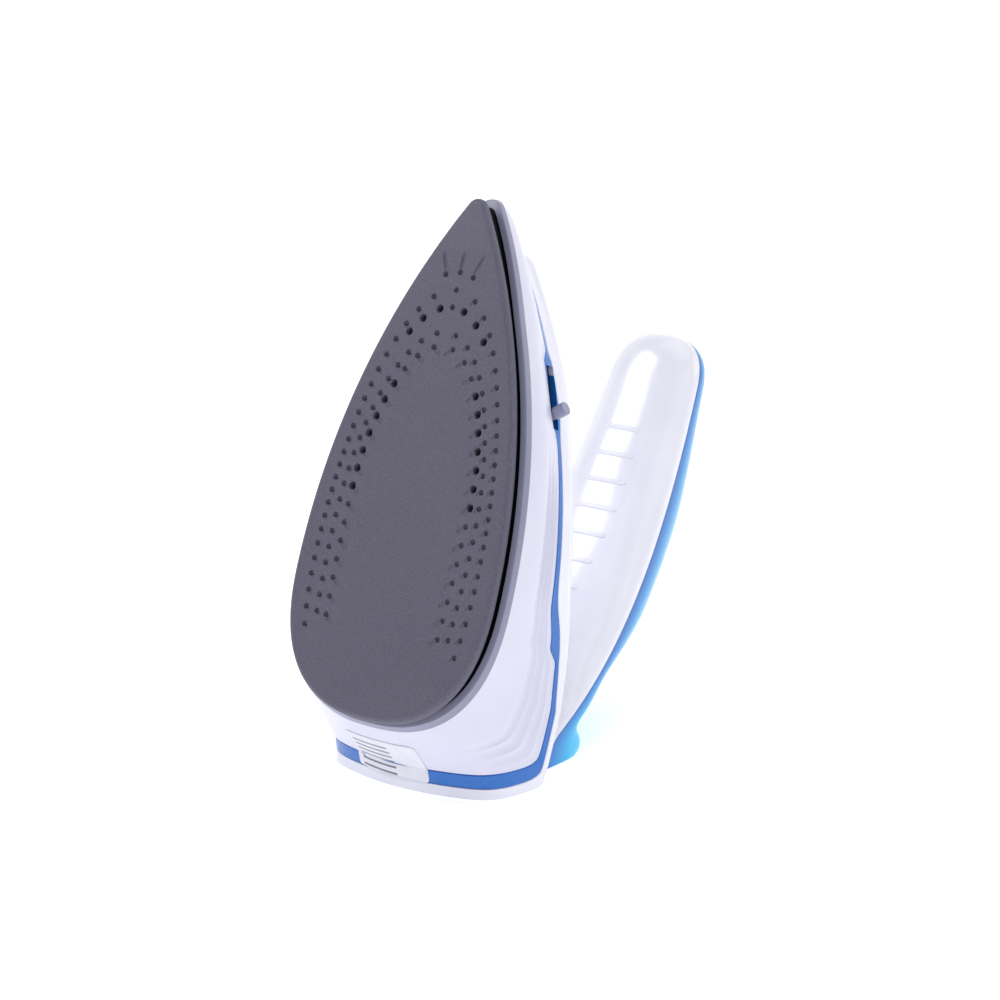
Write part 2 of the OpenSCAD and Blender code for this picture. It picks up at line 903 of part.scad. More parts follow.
module hinge_clips() {
    color([0.45, 0.45, 0.48])
        for (x = [-20.3, 19.3])
            translate([x, hinge_y, hinge_z])
                rotate([0, 90, 0])
                    difference() {
                        tube(5.2, pin_r + 0.02, 1);
                        translate([0, 4, 0.5])
                            cube([3.2, 8, 3], center = true);
                    }
}

// Side view of one hinge arm, bored for the pin.
module arm_profile() {
    difference() {
        union() {
            circle(r = 7);
            rotate(-18)
                translate([-5, 0])
                    square([10, 30]);
        }
        circle(r = pin_r + 0.02);
    }
}

// Arms that carry the handle on the hinge pin, joined by a cross bar.
module handle_arms() {
    color([0.8, 0.8, 0.84])
        union() {
            for (x = [-19.2, 13.1])
                translate([x, hinge_y, hinge_z])
                    rotate([90, 0, 90])
                        linear_extrude(6.1)
                            arm_profile();
            translate([-13.4, hinge_y, hinge_z])
                rotate([-18, 0, 0])
                    difference() {
                        translate([0, -4.5, 25])
                            cube([26.8, 9, 4.8]);
                        for (x = [-9, 9])
                            translate([13.4 + x, 0, 18])
                                cylinder(r = 1.3, h = 14);
                    }
        }
}

// Parting edge, half-width, crown height and keel depth along the handle.
tip_y = 161;
root_y = -6.6;
function tip_fade(y) = pow(max(0.004, 1 - pow(max(0, y - 141) / (tip_y - 141), 2.8)), 0.42);
function edge_z(y) = 66 + 71 * (1 - exp(-y / 62)) + 7.1 * (1 - ease(-7, 9, y));
function grip_half(y) = (30 - 0.075 * y) * tip_fade(y);
function crown_h(y) =
    (12.5 + 14.5 * (1 - ease(-7, 14, y)) + 9.5 * ease(22, 58, y) - 9 * ease(85, 150, y)) * tip_fade(y);
function keel_h(y) = (2.4 + 10 * ease(-4, 42, y) - 2.5 * ease(110, 150, y)) * tip_fade(y);
function root_slant(y) = tan(lean) * (1 - ease(0, 30, y));

stations = concat([root_y, -4.4, -1.5, 2, 6, 10, 15, 20, 25, 31, 38], [for (i = [1 : 11]) 38 + i * 9],
    [143, 148, 152, 155.5, 158, 159.8, tip_y]);

// One slice of a handle shell: outer arc and back along the inner arc.
function slice(y, side, power, shut) =
    let (w = grip_half(y), h = side > 0 ? crown_h(y) : keel_h(y),
        wi = max(w - shell_t, w * 0.3), hi = max(0.08, (h - shell_t) * shut),
        arc = function(a, b, f) let (q = pow(pow(abs(cos(f)), power) + pow(sin(f), power), -1 / power))
            [a * q * cos(f), b * q * sin(f) + (side > 0 ? 0.1 : 0)],
        flat = concat([for (i = [0 : 16]) arc(w, h, 180 * i / 16)],
            [for (i = [16 : -1 : 0]) arc(wi, hi, 180 * i / 16)]),
        ordered = side < 0 ? flat : [for (i = [len(flat) - 1 : -1 : 0]) flat[i]])
    [for (p = ordered) let (z = side * p.y)
        [p.x, y + root_slant(y) * z, edge_z(y) + z]];

module handle_shell(side, power) {
    skin([for (y = stations)
        let (solid = y > tip_y - 4 || (side > 0 && y < root_y + 2.6))
        slice(y, side, power + (side > 0 ? 5 * (1 - ease(-5, 34, y)) : 0), solid ? 0 : 1)], "arcs");
}

module handle_inner_shell() {
    color([0.96, 0.96, 0.98]) {
        difference() {
            handle_shell(-1, 2.3);
            translate([-13.4, hinge_y, hinge_z])
                rotate([0, 90, 0])
                    cylinder(r = 9, h = 26.8);
            for (s = [-1, 1])
                translate([s * 16.15 - 3.5, hinge_y, hinge_z])
                    rotate([-18, 0, 0])
                        translate([0, -8, -9])
                            cube([7, 16, 40]);
        }
        grip_ribs();
        for (x = [-9, 9])
            translate([x, hinge_y, hinge_z])
                rotate([-18, 0, 0])
                    translate([0, 0, 18.4])
                        tube(3, 1.3, 6.5);
    }
}

// Raised ribs across the keel, longest in the middle of the grip.
module grip_ribs() {
    for (i = [0 : 7])
        let (y = 122 - 10.3 * i, half = rib_half * (0.55 + 0.45 * sin(180 * (i + 1.6) / 9.2)) )
            translate([0, y, edge_z(y) - keel_h(y) + 0.25])
                rotate([atan2(edge_z(y + 1) - edge_z(y - 1), 2), 0, 0])
                    translate([-half, 0, 0])
                        rotate([0, 90, 0])
                            cylinder(r = 0.65, h = 2 * half, $fn = 16);
}

module handle_outer_cover() {
    color([0.2, 0.62, 0.9])
        handle_shell(1, 2.5);
}

module handle_screws() {
    color([0.7, 0.7, 0.72])
        for (x = [-9, 9])
            translate([x, hinge_y, hinge_z])
                rotate([-18, 0, 0])
                    translate([0, 0, 29.85])
                        screw(7.5, 1.25);
}

// ---- output -----------------------------------------------------------------

stand() soleplate();
stand() heating_element();
stand() element_pins();
stand() chamber_seal();
stand() chamber_cover();
stand() heat_shield();
stand() plate_screws();
stand() thermostat();
stand() thermal_fuse();
stand() earth_tab();
stand() lower_housing();
stand() side_band();
stand() top_cover();
stand() rating_label();
stand() housing_screws();
stand() water_tank();
stand() filler_seal();
stand() drip_valve();
stand() valve_rod();
stand() steam_button();
stand() steam_spring();
stand() filler_cap();
stand() cap_pin();
stand() temperature_lever();
stand() lever_knob();
stand() terminal_block();
stand() internal_wires();
stand() cord_inlet();
stand() cord_clamp();
stand() pilot_lamp();
stand() pilot_lens();
stand() hinge_bracket();
stand() bracket_screws();
stand() hinge_pin();
stand() hinge_clips();
stand() hinge_washers();
stand() handle_arms();
stand() handle_inner_shell();
stand() handle_outer_cover();
stand() handle_screws();
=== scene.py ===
"""Looks of the travel steam iron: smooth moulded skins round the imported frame, soft studio light."""

import math

import bmesh
import bpy
import numpy as np
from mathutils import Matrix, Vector
from mathutils.bvhtree import BVHTree


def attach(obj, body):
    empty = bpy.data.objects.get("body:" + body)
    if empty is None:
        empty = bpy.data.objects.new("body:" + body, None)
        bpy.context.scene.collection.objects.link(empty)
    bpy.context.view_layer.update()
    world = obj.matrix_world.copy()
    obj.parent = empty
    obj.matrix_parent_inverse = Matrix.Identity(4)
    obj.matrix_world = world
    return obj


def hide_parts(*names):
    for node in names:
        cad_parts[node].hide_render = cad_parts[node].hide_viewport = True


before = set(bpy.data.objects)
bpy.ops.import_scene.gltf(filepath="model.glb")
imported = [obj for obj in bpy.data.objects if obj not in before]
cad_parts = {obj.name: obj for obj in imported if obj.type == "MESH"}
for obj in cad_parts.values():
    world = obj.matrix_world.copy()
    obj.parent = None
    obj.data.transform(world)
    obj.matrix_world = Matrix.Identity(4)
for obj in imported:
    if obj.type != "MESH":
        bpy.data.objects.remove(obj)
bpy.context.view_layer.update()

# ---- the ironing frame, in millimetres: sole on z = 0, nose along +y ---------

LEAN = math.radians(21)
FLOOR_DROP = 29.5
FOOT_Z = 45.0
SIN, COS = math.sin(LEAN), math.cos(LEAN)
FOOT_Y = (FOOT_Z * SIN - FLOOR_DROP) / COS * SIN + FOOT_Z * COS

WALL = 2.2
SEAM = 0.22
SOLE_HALF, SOLE_LENGTH, SOLE_MID = 42.4, 180.0, 48.0
DECK_Z = 8.0
BAND_H = 5.2
LEVER_Z = 27.5
FILLER_Y, BUTTON_Y, LENS_Y = 143.0, 121.0, 42.0
CAP_R = 8.4
HINGE_Y, HINGE_Z = 14.0, 62.5
INLET_Y, INLET_Z = 14.0, 26.0
TIP_Y, FADE_Y, ROOT_Y = 161.0, 141.0, -6.6
SHELL_T = 2.2
ARM_X, ARM_TILT, BARREL_R, BARREL_HALF = 16.15, math.radians(-18), 9.0, 13.4
RIB_COUNT, RIB_FIRST, RIB_PITCH, RIB_R = 8, 122, 10.3, 0.72

# Outlines: [half-width, rear, widest y, nose, tip radius, power, belly].
LIP = (45.0, -0.8, 48, 181.6, 5, 2.45, 0)
EDGE = (45.59, -1.9, 48, 182, 5, 2.5, 0)
SKIRT = (40.9, -12.5, 46, 171.5, 4, 11, 0.0022)
BAND = (41.0, -16.9, 45, 169.3, 4, 12, 0.0022)
HEEL = (41.0, -21.1, 44, 168.2, 4, 12, 0.0022)
CROWN = (33.0, -8.6, 50, 166.6, 4, 4, 0)

# The window of the temperature lever, the well of the handle root and the flutes of the skirt.
WINDOW_LOW, WINDOW_HIGH = (-60, 109.5, LEVER_Z - 1), (-20, 130.5, LEVER_Z + 4.2)
WELL_HALF, WELL_Y, WELL_Z, WELL_RIM = 28.5, (HINGE_Y - 12.5, HINGE_Y + 13), 50.0, 59.3
FLUTE_START, FLUTE_PITCH, FLUTE_DEPTH = 0.42, 0.16, 1.6

FINE = 1.0


def row(p):
    """Points of the ironing frame in millimetres, as points of the row frame in metres."""
    p = np.asarray(p, float)
    x, y, z = p[..., 0], p[..., 1], p[..., 2]
    return np.stack([-x, y * SIN + z * COS - FOOT_Y, y * COS - z * SIN + FLOOR_DROP], -1) / 1000


def unrow(co):
    """A point of the row frame in metres, as a point of the ironing frame in millimetres."""
    x, y, z = 1000 * co[0], 1000 * co[1] + FOOT_Y, 1000 * co[2] - FLOOR_DROP
    return -x, y * SIN + z * COS, y * COS - z * SIN


def ease(a, b, x):
    """Smooth step from 0 at a to 1 at b."""
    t = np.clip((np.asarray(x, float) - a) / (b - a), 0, 1)
    return t * t * (3 - 2 * t)


def mix(a, b, t):
    return a + (b - a) * t


def soft_min(a, b, k):
    """The smaller of a and b, rounded off where they cross within k."""
    return np.minimum(a, b) - np.maximum(k - np.abs(a - b), 0) ** 2 / (4 * k)


# ---- heights along the body -------------------------------------------------


def rest_y(z, up=0.0):
    """Rearmost y at height z of a skin that stays a distance up above the floor."""
    return (up - FLOOR_DROP + z * SIN) / COS


def rest_z(y, up=0.0):
    """Height at which the floor plane, lifted by up, passes y."""
    return (FLOOR_DROP - up + y * COS) / SIN


def lip_z(y):
    return 4.9 + 3.4 * ease(135, 182, y)


def bezel(y):
    """1 beside the temperature knob, where the band grows wider."""
    return ease(104, 116, y) * ease(136, 131, y)


def flank_line(y):
    low = np.minimum(53.1 - 0.21 * y, 49.6)
    high = 25.5 + 0.112 * (150 - y) + 3.2 * ease(52, 38, y)
    return mix(low, high, ease(32, 37.5, y))


def skirt_z(y):
    return soft_min(rest_z(y, 9.5), flank_line(y) - 2.2 * bezel(y), 7)


def band_line(y):
    return mix(flank_line(y) + 2.6 + 1.1 * bezel(y), np.minimum(56.7 - 0.26 * y, 52.6), ease(62, 34, y))


def band_z(y):
    return soft_min(rest_z(y, 9.5 - BAND_H), band_line(y), 7)


def top_z(y):
    y = np.asarray(y, float)
    return np.where(y < 100, 48 + 0.2 * (100 - np.maximum(y, 32.5)), 48 - 0.0027 * (y - 100) ** 2)


def heel_z(y):
    return np.minimum(rest_z(y), mix(band_line(y), top_z(y), 0.35))


# ---- outlines and rings -----------------------------------------------------


def plan(o, d=0.0):
    """Closed outline of an iron shape moved inwards by d, counter-clockwise from the heel centre."""
    w, rear, mid, nose, tip = o[0] - d, o[1] + d, o[2], o[3] - 1.25 * d, max(1.6, o[4] - 0.6 * d)
    p, belly = o[5], o[6]
    n = int(96 * FINE)
    length = nose - tip - mid
    r = (w * w + length * length - tip * tip) / (2 * (w - tip))
    a = math.atan2(length, r - w)
    f = np.linspace(0, math.pi / 2, n, endpoint=False)
    q = (np.sin(f) ** p + np.cos(f) ** p) ** (-1 / p)
    x = w * q * np.sin(f)
    rear_part = np.stack([x, mid - (mid - rear - belly * x * x) * q * np.cos(f)], 1)
    g = np.linspace(0, a, n, endpoint=False)
    side = np.stack([w - r + r * np.cos(g), mid + r * np.sin(g)], 1)
    h = np.linspace(a, math.pi / 2, 13)
    nose_part = np.stack([tip * np.cos(h), nose - tip + tip * np.sin(h)], 1)
    half = np.concatenate([rear_part, side, nose_part])
    half[0, 0] = half[-1, 0] = 0
    return np.concatenate([half, half[-2:0:-1] * [-1, 1]])


def ring(o, d, height):
    """Ring of the skin: an outline lifted to height(y) and kept above the floor."""
    p = plan(o, d)
    z = height(p[:, 1]) * np.ones(len(p))
    return np.stack([p[:, 0], np.maximum(p[:, 1], rest_y(z, max(d, 0))), z], 1)


def flute(s, y):
    """Depth of the channels between three crisp ridges on the upper skirt."""
    wave = np.abs(np.sin(math.pi * (s - FLUTE_START) / FLUTE_PITCH))
    along = (1 - ease(70, 112, y)) * ease(-8, 10, y)
    return FLUTE_DEPTH * ease(FLUTE_START, 0.6, s) * (1 - ease(0.9, 1, s)) * along * wave


def skirt_ring(s, d):
    """Ring a fraction s up the skirt, bowed gently outwards and fluted on the outside."""
    a = ring(EDGE, d, lambda y: lip_z(y) + 2.2)
    b = ring(SKIRT, d, skirt_z)
    q = mix(a, b, s)
    bow = 1.5 * math.sin(math.pi * s) * ease(-12, 20, q[:, 1])
    f = bow - (flute(s, q[:, 1]) if d < 0.3 else 0)
    q[:, 0] += np.sign(q[:, 0]) * np.minimum(f, np.abs(q[:, 0]) * 0.5)
    q[:, 1] += 0.6 * bow * ease(140, 180, q[:, 1])
    return q


def flank_ring(d):
    a = ring(HEEL, d, heel_z)
    b = ring(CROWN, d, lambda y: top_z(y) - 1.1 - 0.6 * d)
    q = (a + b) / 2
    q[:, 0] += np.sign(q[:, 0]) * 1.2 * ease(-8, 10, q[:, 1])
    q[:, 2] += 0.6 * ease(150, 170, q[:, 1])
    return q


def between(rings, steps):
    """Rings on a smooth curve through the given ones, kept above the floor."""
    out = []
    for k in range(len(rings) - 1):
        p0, p1, p2, p3 = rings[max(k - 1, 0)], rings[k], rings[k + 1], rings[min(k + 2, len(rings) - 1)]
        for t in np.arange(steps) / steps:
            m1, m2 = (p2 - p0) / 2, (p3 - p1) / 2
            h = t * t * (3 - 2 * t)
            out.append(p1 * (1 - h) + p2 * h + m1 * t * (1 - t) ** 2 - m2 * t * t * (1 - t))
    out.append(rings[-1])
    for q in out:
        q[:, 1] = np.maximum(q[:, 1], rest_y(q[:, 2]))
    return out


# ---- meshes -----------------------------------------------------------------


def skin(rings, closed=True, caps=False):
    """Vertices and faces of a skin over rings of equal length; caps joins mirrored points across x."""
    n, m = len(rings[0]), len(rings)
    faces = []
    for k in range(m if closed else m - 1):
        a, b = k * n, (k + 1) % m * n
        faces += [(a + i, a + (i + 1) % n, b + (i + 1) % n, b + i) for i in range(n)]
    if caps:
        for k, flip in ((0, False), (m - 1, True)):
            for i in range(n // 2):
                q = [k * n + j for j in dict.fromkeys([i, i + 1, (n - i - 1) % n, (n - i) % n])]
                if len(q) > 2:
                    faces.append(tuple(q[::-1] if flip else q))
    return np.concatenate(rings), faces


def mesh_object(name, points, faces):
    """A mesh object from ironing-frame points, with consistent outward faces."""
    mesh = bpy.data.meshes.new(name)
    mesh.from_pydata([tuple(p) for p in row(points)], [], faces)
    bm = bmesh.new()
    bm.from_mesh(mesh)
    bmesh.ops.remove_doubles(bm, verts=bm.verts, dist=1e-7)
    bmesh.ops.recalc_face_normals(bm, faces=bm.faces)
    bm.to_mesh(mesh)
    bm.free()
    obj = bpy.data.objects.new(name, mesh)
    bpy.context.scene.collection.objects.link(obj)
    return obj


def cut(obj, *cutters):
    """Takes the cutters out of obj, for good, and removes them."""
    for c in cutters:
        modifier = obj.modifiers.new("cut", "BOOLEAN")
        modifier.operation = "DIFFERENCE"
        modifier.solver = "MANIFOLD"
        modifier.object = c
    bpy.context.view_layer.update()
    graph = bpy.context.evaluated_depsgraph_get()
    made = bpy.data.meshes.new_from_object(obj.evaluated_get(graph))
    made.materials.clear()
    obj.modifiers.clear()
    obj.data = made
    for c in cutters:
        bpy.data.objects.remove(c)
    return obj


def smooth(obj, degrees=32):
    obj.data.shade_smooth()
    obj.data.set_sharp_from_angle(angle=math.radians(degrees))


def dress(obj, body, materials, replaces=(), degrees=32):
    """Gives a finished piece its materials, shading and place on a body."""
    for m in materials:
        if m.name not in obj.data.materials:
            obj.data.materials.append(m)
    smooth(obj, degrees)
    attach(obj, body)
    if replaces:
        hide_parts(*replaces)
    return obj


def box_cutter(lo, hi):
    x, y, z = zip(lo, hi)
    points = [(x[i], y[j], z[k]) for k in (0, 1) for j in (0, 1) for i in (0, 1)]
    faces = [(0, 2, 3, 1), (4, 5, 7, 6), (0, 1, 5, 4), (2, 6, 7, 3), (0, 4, 6, 2), (1, 3, 7, 5)]
    return mesh_object("cutter", points, faces)


def lathe(centre, axis, profile, sides=48):
    """Points and faces of a closed turned solid. profile: (radius, distance along axis) pairs."""
    axis = np.asarray(axis, float)
    u = np.cross(axis, (0, 1, 0) if abs(axis[1]) < 0.5 else (1, 0, 0))
    u /= np.linalg.norm(u)
    v = np.cross(axis, u)
    a = np.linspace(0, 2 * math.pi, sides, endpoint=False)
    circle = np.cos(a)[:, None] * u + np.sin(a)[:, None] * v
    points = np.concatenate([np.asarray(centre) + r * circle + h * axis for r, h in profile])
    faces = []
    for k in range(len(profile) - 1):
        for i in range(sides):
            j = (i + 1) % sides
            faces.append((k * sides + i, k * sides + j, (k + 1) * sides + j, (k + 1) * sides + i))
    faces.append(tuple(range(sides))[::-1])
    faces.append(tuple(range((len(profile) - 1) * sides, len(profile) * sides)))
    return points, faces


def lathe_cutter(centre, axis, profile, sides=48):
    return mesh_object("cutter", *lathe(centre, axis, profile, sides))


def joined(name, parts):
    """One object out of several (points, faces) solids."""
    points, faces, start = [], [], 0
    for p, f in parts:
        points.append(p)
        faces += [tuple(start + i for i in face) for face in f]
        start += len(p)
    return mesh_object(name, np.concatenate(points), faces)


# ---- materials --------------------------------------------------------------


class Nodes:
    """Small helper that adds and links shader nodes."""

    def __init__(self, name):
        self.material = bpy.data.materials.new(name)
        self.material.use_nodes = True
        self.tree = self.material.node_tree
        self.shader = self.tree.nodes["Principled BSDF"]
        self.where = self.add("ShaderNodeTexCoord").outputs["Object"]

    def add(self, kind, **settings):
        node = self.tree.nodes.new(kind)
        for key, value in settings.items():
            setattr(node, key, value)
        return node

    def link(self, a, b):
        self.tree.links.new(a, b)

    def set(self, **values):
        for key, value in values.items():
            self.shader.inputs[key.replace("_", " ")].default_value = value

    def noise(self, scale, detail=2.0):
        node = self.add("ShaderNodeTexNoise")
        node.inputs["Scale"].default_value = scale
        node.inputs["Detail"].default_value = detail
        self.link(self.where, node.inputs["Vector"])
        return node.outputs["Fac"]

    def ramp(self, source, stops):
        node = self.add("ShaderNodeValToRGB")
        ramp = node.color_ramp
        while len(ramp.elements) < len(stops):
            ramp.elements.new(0.5)
        for element, (place, color) in zip(ramp.elements, stops):
            element.position = place
            element.color = (*color, 1) if len(color) == 3 else color
        self.link(source, node.inputs["Fac"])
        return node.outputs["Color"]

    def span(self, source, low, high):
        node = self.add("ShaderNodeMapRange")
        node.inputs["To Min"].default_value = low
        node.inputs["To Max"].default_value = high
        self.link(source, node.inputs["Value"])
        return node.outputs["Result"]

    def bump(self, source, strength, distance):
        node = self.add("ShaderNodeBump")
        node.inputs["Strength"].default_value = strength
        node.inputs["Distance"].default_value = distance
        self.link(source, node.inputs["Height"])
        self.link(node.outputs["Normal"], self.shader.inputs["Normal"])


def shade(color, factor):
    return tuple(min(1.0, c * factor) for c in color)


def plastic(name, color, rough=0.28, coat=0.35, vary=0.03):
    """Moulded plastic: faint cloudiness, varying gloss and a very fine skin texture."""
    n = Nodes(name)
    cloud = n.noise(38.0, 3.0)
    tones = [(0.3, shade(color, 1 - vary)), (0.7, shade(color, 1 + vary))]
    n.link(n.ramp(cloud, tones), n.shader.inputs["Base Color"])
    n.link(n.span(n.noise(120.0), rough - 0.04, rough + 0.06), n.shader.inputs["Roughness"])
    n.bump(n.noise(1800.0), 0.25, 0.00002)
    n.set(Coat_Weight=coat, Coat_Roughness=0.12)
    return n.material


def coated_plate(name):
    """Non-stick coating: dark warm grey with a fine lighter speckle."""
    n = Nodes(name)
    fine = n.noise(2600.0, 2.0)
    wide = n.noise(30.0, 2.0)
    greys = [(0.38, (0.118, 0.111, 0.156)), (0.60, (0.146, 0.137, 0.190)), (0.74, (0.215, 0.205, 0.265))]
    speckle = n.ramp(fine, greys)
    tint = n.add("ShaderNodeMix", data_type="RGBA", blend_type="MULTIPLY")
    tint.inputs["Factor"].default_value = 1.0
    n.link(speckle, tint.inputs["A"])
    n.link(n.ramp(wide, [(0.3, (0.94, 0.94, 0.95)), (0.7, (1.0, 1.0, 1.0))]), tint.inputs["B"])
    n.link(tint.outputs["Result"], n.shader.inputs["Base Color"])
    n.link(n.span(fine, 0.42, 0.58), n.shader.inputs["Roughness"])
    n.bump(fine, 0.3, 0.00004)
    n.set(Metallic=0.15)
    return n.material


def tinted_cover_painted_light(name):
    """Tinted cover: its own deep blue by the parting edge, with painted light through the plastic turning it
    cyan over the crown, and a faint painted glow.
    """
    n = Nodes(name)
    crown = n.add("ShaderNodeAttribute", attribute_name="crown").outputs["Fac"]
    n.link(
        n.ramp(crown, [(0.0, (0.008, 0.10, 0.42)), (0.2, (0.012, 0.25, 0.66)), (0.6, (0.045, 0.54, 0.88))]),
        n.shader.inputs["Base Color"],
    )
    n.link(n.span(n.noise(90.0), 0.12, 0.2), n.shader.inputs["Roughness"])
    n.bump(n.noise(60.0), 0.12, 0.0003)
    # Painted glow: a faint cyan emission stands in for light shining through the cover.
    n.set(Coat_Weight=0.35, Coat_Roughness=0.05, Emission_Color=(0.02, 0.30, 0.62, 1), Emission_Strength=0.05)
    return n.material


def printed_film(name):
    """Silver film with plain printed bars in place of lettering."""
    n = Nodes(name)
    uv = n.add("ShaderNodeUVMap", uv_map="film").outputs["UV"]
    split = n.add("ShaderNodeSeparateXYZ")
    n.link(uv, split.inputs["Vector"])
    wave = n.add("ShaderNodeMath", operation="PINGPONG")
    n.link(split.outputs["Y"], wave.inputs[0])
    wave.inputs[1].default_value = 0.07
    last = None
    for source, operation, limit in (
        (wave.outputs["Value"], "GREATER_THAN", 0.047),
        (split.outputs["X"], "GREATER_THAN", 0.08),
        (split.outputs["X"], "LESS_THAN", 0.58),
        (split.outputs["Y"], "GREATER_THAN", 0.12),
    ):
        gate = n.add("ShaderNodeMath", operation=operation)
        n.link(source, gate.inputs[0])
        gate.inputs[1].default_value = limit
        if last is None:
            last = gate.outputs["Value"]
            continue
        both = n.add("ShaderNodeMath", operation="MULTIPLY")
        n.link(last, both.inputs[0])
        n.link(gate.outputs["Value"], both.inputs[1])
        last = both.outputs["Value"]
    blend = n.add("ShaderNodeMix", data_type="RGBA")
    n.link(last, blend.inputs["Factor"])
    n.link(n.ramp(n.noise(200.0), [(0.3, (0.78, 0.78, 0.86)), (0.7, (0.84, 0.84, 0.91))]), blend.inputs["A"])
    blend.inputs["B"].default_value = (0.20, 0.20, 0.23, 1)
    n.link(blend.outputs["Result"], n.shader.inputs["Base Color"])
    n.link(n.span(n.noise(300.0), 0.3, 0.42), n.shader.inputs["Roughness"])
    n.set(Metallic=0.08)
    return n.material


def metal(name, color, rough=0.3):
    """Brushed or plated metal with fine streaks."""
    n = Nodes(name)
    stretch = n.add("ShaderNodeMapping")
    stretch.inputs["Scale"].default_value = (1.0, 1.0, 14.0)
    n.link(n.where, stretch.inputs["Vector"])
    streak = n.add("ShaderNodeTexNoise")
    streak.inputs["Scale"].default_value = 260.0
    n.link(stretch.outputs["Vector"], streak.inputs["Vector"])
    fac = streak.outputs["Fac"]
    n.link(n.ramp(fac, [(0.3, shade(color, 0.85)), (0.7, shade(color, 1.05))]), n.shader.inputs["Base Color"])
    n.link(n.span(fac, rough - 0.06, rough + 0.1), n.shader.inputs["Roughness"])
    n.bump(fac, 0.2, 0.00003)
    n.set(Metallic=1.0)
    return n.material


# Painted shade: the skirt's copy of the white plastic is darker and more lavender than the cover's and the
# handle's, standing in for the shade on its sides.
WHITE = plastic("white_plastic_painted_shade", (0.73, 0.73, 0.86), rough=0.3, coat=0.3)
COVER_WHITE = plastic("cover_white", (0.88, 0.88, 0.98), rough=0.24, coat=0.4)
HANDLE_WHITE = plastic("handle_white", (0.91, 0.91, 0.99), rough=0.2, coat=0.5)
# Painted shade: a darker lavender copy of the white plastic for the lip rim, which in truth is white in
# shadow.
LIP_SHADE = plastic("lip_painted_shade", (0.30, 0.30, 0.42), rough=0.35, coat=0.15)
BAND_BLUE = plastic("band_blue", (0.008, 0.15, 0.55), rough=0.25, coat=0.25, vary=0.05)
KNOB_GREY = plastic("knob_grey", (0.28, 0.29, 0.42), rough=0.35, coat=0.25)
BLACK = plastic("black_moulding", (0.008, 0.008, 0.010), rough=0.5, coat=0.05, vary=0.2)
NYLON = plastic("pale_nylon", (0.70, 0.70, 0.76), rough=0.5, coat=0.0)
CERAMIC = plastic("steatite", (0.78, 0.75, 0.66), rough=0.55, coat=0.0, vary=0.06)
DARK_RUBBER = plastic("dark_rubber", (0.02, 0.02, 0.024), rough=0.7, coat=0.0, vary=0.15)
RED_SILICONE = plastic("red_silicone", (0.45, 0.10, 0.05), rough=0.5, coat=0.05, vary=0.08)
RED_LENS = plastic("red_lens", (0.62, 0.05, 0.03), rough=0.12, coat=0.6, vary=0.05)
TANK_BLUE = plastic("tank_blue", (0.30, 0.52, 0.80), rough=0.15, coat=0.4, vary=0.05)
AMBER = plastic("lamp_glass", (0.80, 0.30, 0.12), rough=0.08, coat=0.6, vary=0.05)
PLATE = coated_plate("coated_plate")
TINTED_PAINTED_LIGHT = tinted_cover_painted_light("tinted_cover_painted_light")
FILM = printed_film("printed_film")
STEEL = metal("plated_steel", (0.62, 0.62, 0.64))
SPRING_STEEL = metal("spring_steel", (0.35, 0.35, 0.37), rough=0.35)
BRASS = metal("turned_brass", (0.72, 0.52, 0.22), rough=0.25)
ALUMINIUM = metal("rolled_aluminium", (0.72, 0.72, 0.74), rough=0.4)
HEATER = metal("heater_sheath", (0.30, 0.27, 0.25), rough=0.5)

NODE_MATERIALS = {
    "heating_element": HEATER, "element_pins": STEEL, "chamber_seal": RED_SILICONE,
    "chamber_cover": ALUMINIUM, "heat_shield": BLACK, "plate_screws": STEEL, "thermostat": CERAMIC,
    "thermal_fuse": CERAMIC, "earth_tab": BRASS, "housing_screws": STEEL, "water_tank": TANK_BLUE,
    "filler_seal": DARK_RUBBER, "drip_valve": BRASS, "valve_rod": STEEL, "steam_button": BAND_BLUE,
    "steam_spring": SPRING_STEEL, "filler_cap": BAND_BLUE, "cap_pin": STEEL,
    "temperature_lever": DARK_RUBBER, "lever_knob": KNOB_GREY, "terminal_block": CERAMIC,
    "internal_wires": RED_SILICONE, "cord_inlet": DARK_RUBBER, "cord_clamp": NYLON, "pilot_lamp": AMBER,
    "pilot_lens": RED_LENS, "hinge_bracket": NYLON, "bracket_screws": STEEL, "hinge_pin": STEEL,
    "hinge_clips": SPRING_STEEL, "hinge_washers": NYLON, "handle_arms": NYLON, "handle_screws": STEEL,
}
SOFT_EDGES = {"lever_knob": 0.0009, "steam_button": 0.0004, "filler_cap": 0.0004, "cord_inlet": 0.0004}


def dress_cad_nodes():
    """Materials and soft edges for the CAD nodes that are shown as they are."""
    for name, material in NODE_MATERIALS.items():
        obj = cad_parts[name]
        obj.data.materials.clear()
        obj.data.materials.append(material)
        smooth(obj, 30)
    for name, width in SOFT_EDGES.items():
        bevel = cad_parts[name].modifiers.new("soft_edges", "BEVEL")
        bevel.width = width
        bevel.segments = 3
        bevel.limit_method = "ANGLE"
        bevel.angle_limit = math.radians(40)
        bevel.use_clamp_overlap = True


# ---- vents and dimples in the ironing face -----------------------------------

# A row is half an ellipse: (widest y, reach to the nose, reach to the heel, half-width).
ROW_A = (52, 95.9, 72, 34.7)
ROW_B = (60, 81.9, 80, 33)
ROW_C = (63, 70.2, 110, 29.7)
ROW_D = (74, 54.4, 140, 25.4)


def row_holes(r, ks, pitch, slow, wave=0.0):
    """Holes along a row, closer together near the nose."""
    out = []
    for k in ks:
        y = r[0] + r[1] - pitch * k * k / (k + slow) - wave * math.sin(math.radians(360 * k / 28))
        t = (y - r[0]) / (r[1] if y > r[0] else r[2])
        out.append((r[3] * math.sqrt(max(0, 1 - t * t)), y))
    return out


